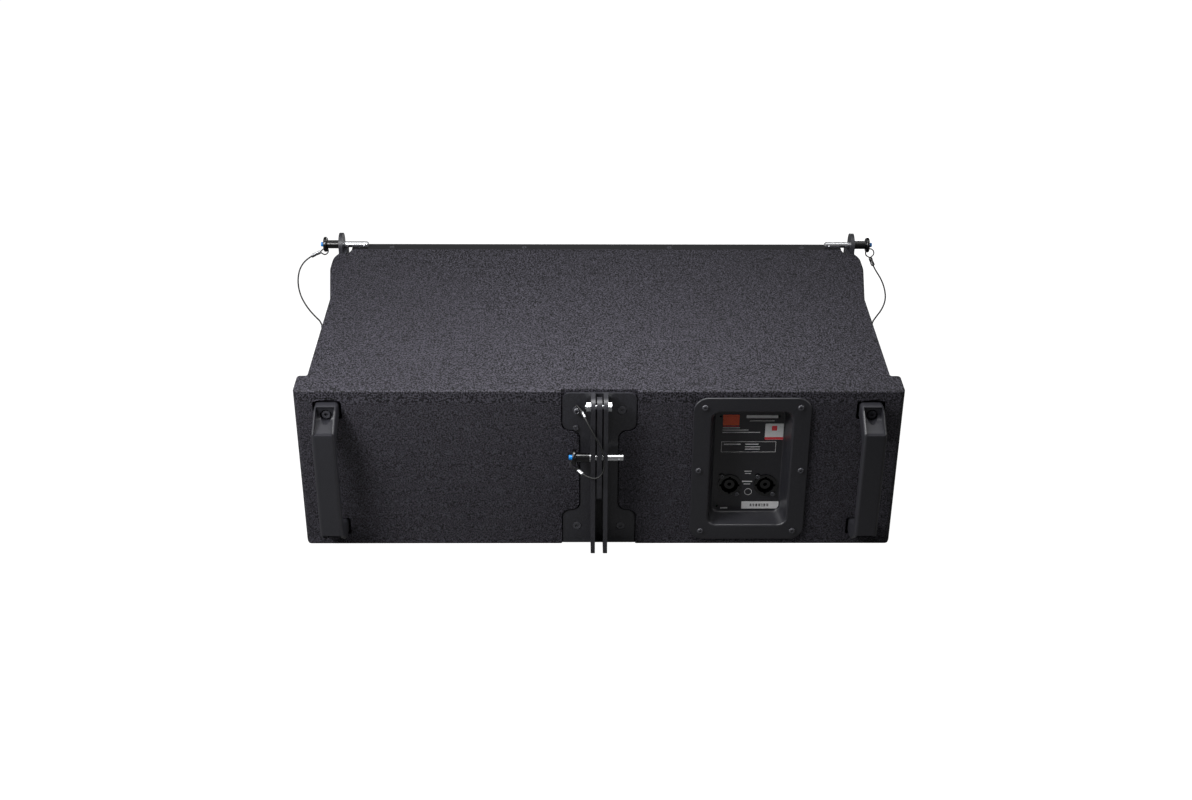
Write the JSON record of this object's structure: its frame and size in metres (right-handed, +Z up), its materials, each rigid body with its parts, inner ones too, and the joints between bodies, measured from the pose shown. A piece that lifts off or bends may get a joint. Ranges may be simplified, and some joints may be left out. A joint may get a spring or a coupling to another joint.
{
  "type": "line array speaker",
  "caption": "Wedge-shaped two-way line array loudspeaker cabinet with rear and front rigging links, quick-release pins, handles and a recessed input panel.",
  "frame": {"origin": "centre of the box on the plane that the bottom panel rests on", "axes": "+X to the right seen from the front, -Y towards the grille, +Z up"},
  "size_m": [0.7751, 0.431, 0.2889],
  "materials": {
    "textured_black_paint": "coarse textured black paint on plywood",
    "black_steel": "satin black powder coat",
    "grille_black": "satin black powder coat",
    "bright_steel": "bright stainless steel",
    "black_plastic": "moulded black plastic",
    "blue_plastic": "blue moulded plastic",
    "black_screws": "black oxide",
    "bare_plywood": "bare birch plywood",
    "foam": "open-cell foam",
    "cone_paper": "coated paper pulp",
    "cap_paper": "coated paper dome",
    "surround_rubber": "rubber",
    "spider_cloth": "resin-dipped cloth",
    "coil_former": "thin sheet",
    "ferrite": "sintered ferrite",
    "yoke_steel": "zinc plated",
    "basket_steel": "black paint",
    "circuit_board": "glass-epoxy board",
    "wound_copper": "enamelled copper",
    "lanyard_black": "black coated wire rope"
  },
  "bodies": {
    "cabinet": {"bottom_panel": "textured_black_paint", "compression_driver": "basket_steel", "crossover_board": "circuit_board", "crossover_parts": "wound_copper", "driver_cap": "basket_steel", "driver_screws": "black_screws", "front_baffle": "bare_plywood", "front_rail_bolts": "black_screws", "front_rail_left": "black_steel", "front_rail_right": "black_steel", "front_rail_screws": "black_screws", "grille": "grille_black", "grille_foam": "foam", "grille_screws": "black_screws", "handle_left": "black_plastic", "handle_right": "black_plastic", "handle_screws": "black_screws", "input_plate": "black_plastic", "input_screws": "black_screws", "internal_braces": "bare_plywood", "lanyard_left": "lanyard_black", "lanyard_rear": "lanyard_black", "lanyard_right": "lanyard_black", "left_side_panel": "textured_black_paint", "rear_fork_plates": "black_steel", "rear_panel": "textured_black_paint", "rear_pivot_bolt": "bright_steel", "rear_pivot_nut": "bright_steel", "rear_plate_screws": "black_screws", "rear_rigging_plate": "black_steel", "right_side_panel": "textured_black_paint", "speaker_sockets": "black_plastic", "top_panel": "textured_black_paint", "waveguide": "black_plastic", "woofer_basket_left": "basket_steel", "woofer_basket_right": "basket_steel", "woofer_magnets": "ferrite", "woofer_spiders": "spider_cloth", "woofer_surround_left": "surround_rubber", "woofer_surround_right": "surround_rubber", "woofer_yoke_left": "yoke_steel", "woofer_yoke_right": "yoke_steel"},
    "rear_link": {"rear_link": "black_steel"},
    "rear_pin": {"rear_pin_shaft": "bright_steel", "rear_pin_grip": "black_plastic"},
    "rear_button": {"rear_pin_button": "blue_plastic"},
    "front_link_right": {"front_link_right": "black_steel"},
    "front_link_left": {"front_link_left": "black_steel"},
    "front_pin_right": {"front_pin_right_shaft": "bright_steel", "front_pin_right_grip": "black_plastic"},
    "front_button_right": {"front_pin_right_button": "blue_plastic"},
    "front_pin_left": {"front_pin_left_shaft": "bright_steel", "front_pin_left_grip": "black_plastic"},
    "front_button_left": {"front_pin_left_button": "blue_plastic"},
    "woofer_cone_right": {"woofer_cone_right": "cone_paper", "woofer_dust_cap_right": "cap_paper", "woofer_voice_coil_right": "coil_former"},
    "woofer_cone_left": {"woofer_cone_left": "cone_paper", "woofer_dust_cap_left": "cap_paper", "woofer_voice_coil_left": "coil_former"}
  },
  "joints": [
    {"name": "rear_link_swing", "type": "hinge", "parent": "cabinet", "child": "rear_link", "pos_m": [0, 0.19057, 0.19051], "axis": [1, 0, 0], "range_deg": [0, 180]},
    {"name": "rear_pin_pull", "type": "slide", "parent": "cabinet", "child": "rear_pin", "axis": [1, 0, 0], "range_m": [0, 0.045], "deforming": ["lanyard_rear"]},
    {"name": "rear_button_press", "type": "slide", "parent": "rear_pin", "child": "rear_button", "axis": [-1, 0, 0], "range_m": [0, 0.003], "stiffness_N_per_m": 400},
    {"name": "front_link_right_lift", "type": "slide", "parent": "cabinet", "child": "front_link_right", "axis": [0, 0.0879, 0.9961], "range_m": [0, 0.035], "deforming": ["lanyard_right"]},
    {"name": "front_pin_right_pull", "type": "slide", "parent": "front_link_right", "child": "front_pin_right", "axis": [1, 0, 0], "range_m": [0, 0.045], "deforming": ["lanyard_right"]},
    {"name": "front_button_right_press", "type": "slide", "parent": "front_pin_right", "child": "front_button_right", "axis": [-1, 0, 0], "range_m": [0, 0.003], "stiffness_N_per_m": 400},
    {"name": "woofer_right_travel", "type": "slide", "parent": "cabinet", "child": "woofer_cone_right", "axis": [0, -0.9961, 0.0879], "range_m": [-0.004, 0.004], "stiffness_N_per_m": 2500, "deforming": ["woofer_surround_right", "woofer_spiders"]},
    {"name": "front_link_left_lift", "type": "slide", "parent": "cabinet", "child": "front_link_left", "axis": [0, 0.0879, 0.9961], "range_m": [0, 0.035], "deforming": ["lanyard_left"]},
    {"name": "front_pin_left_pull", "type": "slide", "parent": "front_link_left", "child": "front_pin_left", "axis": [-1, 0, 0], "range_m": [0, 0.045], "deforming": ["lanyard_left"]},
    {"name": "front_button_left_press", "type": "slide", "parent": "front_pin_left", "child": "front_button_left", "axis": [1, 0, 0], "range_m": [0, 0.003], "stiffness_N_per_m": 400},
    {"name": "woofer_left_travel", "type": "slide", "parent": "cabinet", "child": "woofer_cone_left", "axis": [0, -0.9961, 0.0879], "range_m": [-0.004, 0.004], "stiffness_N_per_m": 2500, "deforming": ["woofer_surround_left"]}
  ]
}
